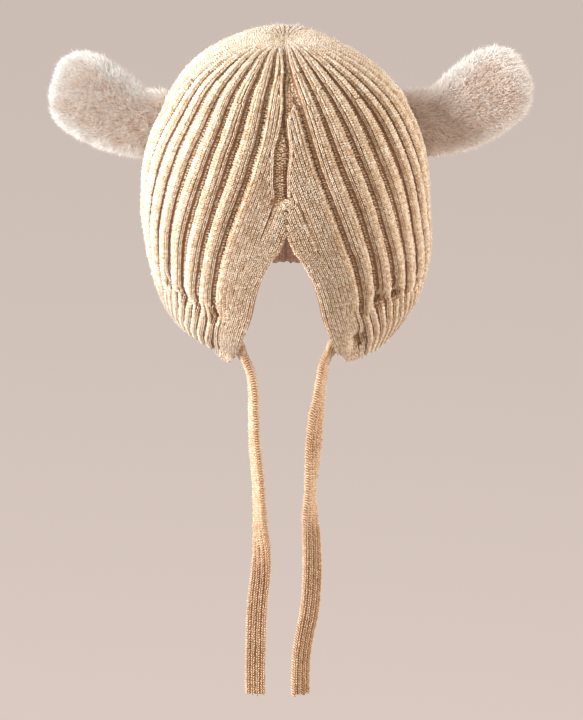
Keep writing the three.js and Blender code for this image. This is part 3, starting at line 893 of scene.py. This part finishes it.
def painted_light_and_shade(az, h):
    """Painted shade in hollows, on steep rib shoulders, in pits and in the crown's grooves, eased off
    on the lit side, which gets a little painted light.
    """
    turn = CAVITY_REACH / np.maximum(HALF_WIDTH * girth(az, height_of(az, h)), 3)
    rise = CAVITY_REACH / CROWN_RISE
    about = (
        level(az - turn, h) + level(az + turn, h)
        + level(az, np.minimum(h + rise, 0.999)) + level(az, np.maximum(h - rise, -1))
    ) / 4
    steep = np.abs(level(az + 0.5 * turn, h) - level(az - 0.5 * turn, h)) / CAVITY_REACH
    # Painted shade along the grooves near the crown
    crown = CROWN_GROOVE_SHADE * bell(groove_share(az, h), 0.14) * ease(h, 0.84, 0.96)
    mild = 1 - LIT_SHARE * ease(-np.degrees(az), 25, 65)
    # Painted shade on steep rib shoulders, so they don't light up, and in the deeper pits
    shoulder = SHOULDER_SHADE * mild * np.minimum(steep, 1)
    shoulder = shoulder + PIT_SHADE * np.maximum(pit_depth(np.degrees(az), h) - 1.2, 0)
    # Painted shade where the knit lies below its neighbours, and painted light on the lit side
    tone = 1 + mild * CAVITY_SHADE * (level(az, h) - about) + LIT_GAIN * (1 - mild)
    return np.clip(tone, 0.45, 1.15) * (1 - crown - shoulder)


def make_stitches():
    """The knit's stitches in four quarters of the cap."""
    plain, purl = Wales(SEED), Wales(SEED + 1)
    collect_ribs(plain, purl)
    collect_front(plain, purl)
    random = np.random.default_rng(SEED + 2)
    quarters = {0: [], 1: [], 2: [], 3: []}
    for wales, template, mirrors, relief, jitter in (
        (plain, LEG, (1, -1), STITCH_RELIEF, PLAIN_JITTER), (purl, PURL, (1,), PURL_RELIEF, PURL_JITTER)
    ):
        place = wales.frames()
        az, h, tone = place[6:]
        # Each stitch's own random tone, times painted light and shade
        tone = tone * (LEAST_TONE + TONE_SPREAD * random.random(len(tone))) * painted_light_and_shade(az, h)
        quarter = (az > 0).astype(int) + 2 * (np.abs(az) > math.pi / 2)
        for mirror in mirrors:
            for q, pieces in quarters.items():
                chosen = tuple(v[quarter == q] for v in place)
                points, faces, each = spindles(chosen, template, mirror, relief, random, jitter)
                tones = strand_tones(tone[quarter == q], template, each)
                pieces.append((points, faces, chart(chosen, points, each), tones))
    for q, name in enumerate(("front_left", "front_right", "back_left", "back_right")):
        points, faces, uv, tones = joined(quarters[q])
        add_mesh(f"stitches_{name}", points, faces, WOOL, uv, tones)


def make_fuzz(count, seed):
    """Loose fibres that stand off the cap's yarn."""
    random = np.random.default_rng(seed)
    h = np.where(
        random.random(count) < FUZZ_CROWN_SHARE, height_at_radius(random.uniform(2, 34, count)),
        random.uniform(-0.99, 0.92, count),
    )
    signed = random.uniform(-180, 180, count)
    some = np.abs(signed) > edge_at(h) + 0.5
    h, az = h[some], np.radians(signed[some])
    p, out = knit(az, h, -0.5), crest_normal(az, height_of(az, h))
    n = len(p)
    grow = unit(out * random.uniform(0.15, 1.0, (n, 1)) + random.normal(0, 0.75, (n, 3)))
    long = random.uniform(1.2, 3.4, n)[:, None]
    flat = unit(np.cross(grow, random.normal(0, 1, (n, 3)))) * FUZZ_WIDTH
    points = np.stack([p - flat, p + flat, p + grow * long], axis=1).reshape(-1, 3)
    faces = np.arange(n * 3).reshape(-1, 3)
    u = np.repeat(az / (2 * math.pi) * 0.98 + 0.5, 3) + np.tile([-0.001, 0.001, 0.0], n)
    v = np.repeat(0.5 + 0.49 * h, 3) + np.tile([0.0, 0.0, 0.008], n)
    tone = np.tile([0.75, 0.75, 1.0], n)
    add_mesh("cap_fuzz", points, faces, WOOL, np.stack([u, v], -1), tone)


# Ears


def cap_side(side, y, z):
    """How far out the cap's side lies at a place."""
    g = girth(np.full(np.shape(z), side * math.pi / 2), z)
    depth = np.where(y < 0, FRONT_DEPTH, BACK_DEPTH)
    lean = CROWN_LEAN * np.clip(z / CROWN_RISE, 0, 1) ** LEAN_POWER
    return HALF_WIDTH * np.sqrt(np.maximum(g**2 - (y / depth) ** 2, 0)) - side * lean


class Ear:
    """The form of one ear: points by their place along it and round it."""

    def __init__(self, side, length, column):
        self.side, self.length = side, length
        self.at = np.linspace(0, 1, EAR_STEPS + 1)
        self.tilt = np.radians(curve(EAR_STATIONS, column)(self.at))
        step = length / EAR_STEPS
        x0 = side * (cap_side(side, EAR_SEAT_BACK, EAR_SEAT_HEIGHT) + SEAT_CLEARANCE)
        x = x0 + np.concatenate([[0], np.cumsum(side * step * np.cos(self.tilt[:-1]))])
        z = EAR_SEAT_HEIGHT + np.concatenate([[0], np.cumsum(step * np.sin(self.tilt[:-1]))])
        self.line = np.stack([x, EAR_SEAT_BACK + EAR_SWEEP_BACK * self.at, z], -1)
        self.width, self.thickness = curve(EAR_STATIONS, 3), curve(EAR_STATIONS, 4)

    def middle(self, at):
        return np.stack([np.interp(at, self.at, self.line[:, k]) for k in range(3)], -1)

    def point(self, at, angle, inset):
        """A point of the ear's surface, drawn in by inset."""
        past = np.clip((at - EAR_TIP_START) / (1 - EAR_TIP_START), 0, 1)
        tip = (1 - past**EAR_TIP_ROUNDNESS) ** (1 / EAR_TIP_ROUNDNESS)
        tilt = np.interp(at, self.at, self.tilt)
        short = 1 - inset / self.length * 0.9
        across = np.maximum(EAR_WIDTH / 2 * self.width(at) - inset, 1) * tip * np.cos(angle)
        through = np.maximum(EAR_THICKNESS / 2 * self.thickness(at) - inset, 1) * tip * np.sin(angle)
        p = self.middle(at * short)
        p = p + np.stack([-self.side * across * np.sin(tilt), through, across * np.cos(tilt)], -1)
        seat = cap_side(self.side, p[..., 1], p[..., 2]) - EAR_SEAT_SINK
        sunk = 1 - ease(at, 0.0, EAR_SEAT_REACH)
        out = self.side * p[..., 0]
        out = np.maximum(out + sunk * (seat - out), seat)
        p[..., 0] = np.where(at < 0.3, self.side * out, p[..., 0])
        return p

    def frame(self, at, angle, inset):
        """A point of the surface, with the directions along the ear and outwards."""
        p = self.point(at, angle, inset)
        ahead, behind = np.minimum(at + 0.004, 0.999), np.maximum(at - 0.004, 0)
        along = self.point(ahead, angle, inset) - self.point(behind, angle, inset)
        round_it = self.point(at, angle + 0.02, inset) - self.point(at, angle - 0.02, inset)
        out = np.cross(round_it, along)
        facing = np.sum(out * (p - self.middle(at)), axis=1, keepdims=True)
        return p, unit(along), unit(out * np.sign(facing))


def make_ear_body(ear, name):
    """The padded body that the pile grows from."""
    rows, cols = EAR_ROWS, EAR_COLUMNS
    at = 1 - (1 - np.linspace(0, 1, rows)) ** 1.35
    angle = np.linspace(0, 2 * math.pi, cols, endpoint=False)
    body = ear.point(*np.meshgrid(at[:-1], angle, indexing="ij"), PILE_SINK).reshape(-1, 3)
    ids = np.arange((rows - 1) * cols).reshape(rows - 1, cols)
    nxt = np.roll(ids, -1, axis=1)
    tip = ear.point(np.array([1.0]), np.array([0.0]), PILE_SINK)
    seat = body[:cols].mean(axis=0, keepdims=True)
    seat[0, 0] = ear.side * (cap_side(ear.side, seat[0, 1], seat[0, 2]) - EAR_SEAT_SINK)
    top, low = len(body), len(body) + 1
    tris = np.concatenate([
        halves(quads(ids[:-1], nxt[:-1], nxt[1:], ids[1:])),
        np.stack([ids[-1], nxt[-1], np.full(cols, top)], -1),
        np.stack([nxt[0], ids[0], np.full(cols, low)], -1),
    ])
    if ear.side > 0:
        tris = tris[:, ::-1]
    points = np.concatenate([body, tip, seat])
    tones = np.full(len(points), EAR_BODY_TONE)
    return add_mesh(f"{name}_cloth", points, tris, PLUSH, None, tones)


def spread_pile(ear, random):
    """Places for the pile, as dense everywhere by area."""
    n = PILE_COUNT * 3
    at = random.random(n)
    angle = random.random(n) * 2 * math.pi
    p = ear.point(at, angle, PILE_SINK)
    along = ear.point(np.minimum(at + 0.01, 1), angle, PILE_SINK) - p
    round_it = ear.point(at, angle + 0.05, PILE_SINK) - p
    area = np.linalg.norm(np.cross(along, round_it), axis=1)
    keep = random.random(n) < np.clip(area / np.quantile(area, 0.93), 0, 1)
    return at[keep][:PILE_COUNT], angle[keep][:PILE_COUNT]


def make_pile(ear, name, seed):
    """Bent blades of pile, whiter towards the ear's rim and tip."""
    random = np.random.default_rng(seed)
    at, angle = spread_pile(ear, random)
    n = len(at)
    p, along, out = ear.frame(at, angle, PILE_SINK)
    wave = np.sin(p @ np.array([0.55, 0.3, 0.4])) + np.sin(p @ np.array([-0.3, 0.5, 0.62]) + 1.3)
    drift = 0.12 * np.sin(p @ np.array([0.4, -0.2, 0.7]))
    grow = unit(
        out * 0.95 + along * (0.55 + 0.12 * wave)[:, None]
        + np.cross(out, along) * drift[:, None] + random.normal(0, 0.36, (n, 3))
    )
    rim = np.maximum(ease(np.abs(np.cos(angle)), 0.6, 0.97), ease(at, 0.80, 0.97))
    rim = rim * (0.55 + 0.45 * ease(at, 0.02, 0.3))
    fullness = 0.8 + 0.1 * ease(at, 0.0, 0.12) + 0.08 * rim
    half_long = (PILE_LENGTH * (1 + random.normal(0, 0.2, n)) * fullness / 2)[:, None]
    flat = unit(np.cross(grow, random.normal(0, 1, (n, 3)))) * PILE_WIDTH / 2
    middle = p + grow * half_long
    end = middle + unit(grow + along * 0.35) * half_long
    blade = [p - flat, p + flat, middle - flat * 0.75, middle + flat * 0.75, end]
    local = np.array([(0, 1, 3), (0, 3, 2), (2, 3, 4)])
    faces = (np.arange(n)[:, None, None] * len(blade) + local[None]).reshape(-1, 3)

    warm = 0.09 * (1 - ease(at, 0.1, 0.5)) + 0.05 * wave * (1 - rim)
    low = 0.36 + 0.62 * rim - warm + random.normal(0, 0.16, n)
    # The tips' tone, with painted light on the left ear and painted shade on the right
    high = TIP_TONE_WITH_LIGHT_AND_SHADE[ear.side] + 0.3 * rim - warm + random.normal(0, 0.34, n)
    tone = np.stack([low, low, (low + high) / 2, (low + high) / 2, high], -1).ravel()
    u = (0.03 + 0.94 * at)[:, None] + np.array([-1, 1, -0.75, 0.75, 0]) * 0.002
    v = (0.03 + 0.1 * (angle / (2 * math.pi)))[:, None] + np.array([0.0, 0.0, 0.4, 0.4, 0.8])
    uv = np.stack([u, v], -1).reshape(-1, 2)
    points = np.stack(blade, axis=1).reshape(-1, 3)
    add_mesh(f"{name}_pile", points, faces, PLUSH, uv, tone)


def make_ear(name, side, length, column, seed):
    ear = Ear(side, length, column)
    base = make_ear_body(ear, name)
    make_pile(ear, name, seed)
    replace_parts(base, name)


# Ties


def route_line(points, steps):
    """A centripetal curve through the route's points, and the turn of the flat side."""
    p = np.array([q[:3] for q in points], float)
    turn = np.radians([q[3] for q in points])
    gaps = np.sqrt(np.linalg.norm(np.diff(p, axis=0), axis=1))
    knots = np.concatenate([[0], np.cumsum(gaps)])
    at = np.linspace(0, knots[-1], TIE_SAMPLES)
    slopes = np.gradient(p, knots, axis=0)
    i = np.clip(np.searchsorted(knots, at) - 1, 0, len(p) - 2)
    width = (knots[i + 1] - knots[i])[:, None]
    t = (at - knots[i])[:, None] / width
    line = hermite(t, width, p[i], p[i + 1], slopes[i], slopes[i + 1])
    turns = curve(list(zip(knots, turn)))(at)
    length = np.concatenate([[0], np.cumsum(np.linalg.norm(np.diff(line, axis=0), axis=1))])
    s = np.linspace(0, length[-1], steps)
    line = np.stack([np.interp(s, length, line[:, k]) for k in range(3)], -1)
    return line, np.interp(s, length, turns), length[-1]


def tie_frames(line, turn):
    """Directions down the tie, across its flat side and out of it."""
    down = unit(np.gradient(line, axis=0))
    across = np.stack([np.cos(turn), np.sin(turn), np.zeros(len(turn))], -1)
    across = unit(across - down * np.sum(across * down, axis=1, keepdims=True))
    return down, across, np.cross(down, across)


def make_tie_body(name, line, turn):
    """The tie's flat body under its stitches, painted dark as the shade between them."""
    _, across, out = tie_frames(line, turn)
    rows, cols = len(line), TIE_SIDES
    angle = np.linspace(0, 2 * math.pi, cols, endpoint=False)
    cx = np.sign(np.cos(angle)) * np.abs(np.cos(angle)) ** 0.6 * (TIE_WIDTH / 2 - 0.4)
    cy = np.sign(np.sin(angle)) * np.abs(np.sin(angle)) ** 0.7 * (TIE_THICKNESS / 2 - 0.45)
    body = line[:, None] + across[:, None] * cx[None, :, None] + out[:, None] * cy[None, :, None]
    points = np.concatenate([body.reshape(-1, 3), line[:1], line[-1:]])
    ids = np.arange(rows * cols).reshape(rows, cols)
    nxt = np.roll(ids, -1, axis=1)
    tris = np.concatenate([
        halves(quads(ids[:-1], ids[1:], nxt[1:], nxt[:-1])),
        np.stack([ids[0], nxt[0], np.full(cols, rows * cols)], -1),
        np.stack([nxt[-1], ids[-1], np.full(cols, rows * cols + 1)], -1),
    ])
    tones = np.ones(len(points))
    return add_mesh(f"{name}_cloth", points, tris[:, ::-1], WOOL_GAP_SHADE, None, tones)


def make_tie_stitches(name, length, seed):
    """Columns of stitches on both faces of the tie, and one along each edge."""
    random = np.random.default_rng(seed)
    line, turn, _ = route_line(TIE_ROUTES[name], int(length / TIE_SPACING))
    down, across, out = tie_frames(line, turn)
    tall = np.full(len(line), TIE_SPACING)
    column = TIE_WIDTH * TIE_KNIT_SHARE / TIE_COLUMNS
    groups = []
    for face in (-1, 1):
        for j in range(TIE_COLUMNS):
            x = (j - (TIE_COLUMNS - 1) / 2) * column
            share = abs(x) / (TIE_WIDTH / 2)
            lift = (TIE_THICKNESS / 2 - 0.42) * (1 - share**3.2) ** 0.6
            normal = unit(out * face + across * (0.75 * np.sign(x) * max(0, share - 0.45)))
            p = line + across * x + out * face * lift
            p = p + down * random.uniform(-0.5, 0.5)
            width = np.full(len(p), column)
            place = (p, down, unit(np.cross(down, normal)), normal, width, tall)
            groups += [(place, LEG, mirror, STITCH_RELIEF) for mirror in (1, -1)]
    for edge in (-1, 1):
        p = line + across * edge * (TIE_WIDTH / 2 - 0.5)
        place = (p, down, out * edge, across * edge, np.full(len(p), 2.2), tall)
        groups.append((place, PURL, 1, EDGE_RELIEF))
    parts = []
    for place, template, mirror, relief in groups:
        points, faces, each = spindles(place, template, mirror, relief, random, PLAIN_JITTER)
        tone = 0.72 + 0.2 * random.random(len(line))
        parts.append((points, faces, strand_tones(tone, template, each)))
    points, faces, tones = joined(parts)
    return add_mesh(f"{name}_stitches", points, faces, WOOL_TIE, None, tones)


def make_tie(name, seed):
    line, turn, length = route_line(TIE_ROUTES[name], TIE_ROWS)
    cord = make_tie_body(name, line, turn)
    stitches = make_tie_stitches(name, length, seed)
    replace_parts(cord, name)
    path = [tuple(p) for p in placed(np.concatenate([line[::3], line[-1:]]))]
    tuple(path[0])


# Camera, floor and lights


def make_camera():
    tilt = math.radians(CAMERA_TILT)
    data = bpy.data.cameras.new("camera")
    data.sensor_width = SENSOR
    data.lens = SENSOR * CAMERA_DISTANCE / (PHOTO_HEIGHT * MM_PER_PIXEL)
    data.clip_end = 100
    cam = add_object("camera", data)
    x, y, z = VIEW_MIDDLE
    middle = Vector((x, y, z - CROWN_SEAT)) * MM
    back = Vector((0, -math.cos(tilt), math.sin(tilt)))
    cam.location = middle + back * (CAMERA_DISTANCE * MM)
    cam.rotation_euler = (-back).to_track_quat("-Z", "Y").to_euler()
    bpy.context.scene.camera = cam


def make_light(name, place, size, power, colour):
    data = bpy.data.lights.new(name, "AREA")
    data.shape = "DISK"
    data.size = size
    data.energy = power
    data.color = colour
    ob = add_object(name, data)
    ob.location = place
    ob.rotation_euler = (Vector(LIGHT_TARGET) - Vector(place)).to_track_quat("-Z", "Y").to_euler()


def make_studio():
    """A wide floor in the backdrop's colour, soft light all round and four lamps."""
    me = bpy.data.meshes.new("floor")
    s, z = FLOOR_SIZE / 2, FLOOR_HEIGHT
    me.from_pydata([(-s, -s, z), (s, -s, z), (s, s, z), (-s, s, z)], [], [(0, 1, 2, 3)])
    floor = add_object("floor", me)
    paint, _, shader = node_tools("floor_paint")
    set_inputs(
        shader, Base_Color=(0.22, 0.185, 0.165, 1), Roughness=0.95, Specular_IOR_Level=0.0,
        Emission_Color=(0.61, 0.525, 0.485, 1), Emission_Strength=0.72,
    )
    me.materials.append(paint)

    world = bpy.data.worlds.new("studio")
    world.use_nodes = True
    set_inputs(world.node_tree.nodes["Background"], Color=(0.94, 0.88, 0.82, 1), Strength=0.65)
    bpy.context.scene.world = world
    bpy.context.scene.view_settings.view_transform = "Standard"
    for light in LIGHTS:
        make_light(*light)


purl_side(WOOL_INSIDE, *INSIDE_PURLS)
make_camera()
for index, tie_name in enumerate(TIE_ROUTES):
    make_tie(tie_name, SEED + 30 + index)
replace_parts(make_cap(), "knit_cap")
make_stitches()
make_fuzz(FUZZ_COUNT, SEED + 10)
for index, (ear_name, ear_side, ear_length, tilt_column) in enumerate(EARS):
    make_ear(ear_name, ear_side, ear_length, tilt_column, SEED + 20 + index)
make_studio()
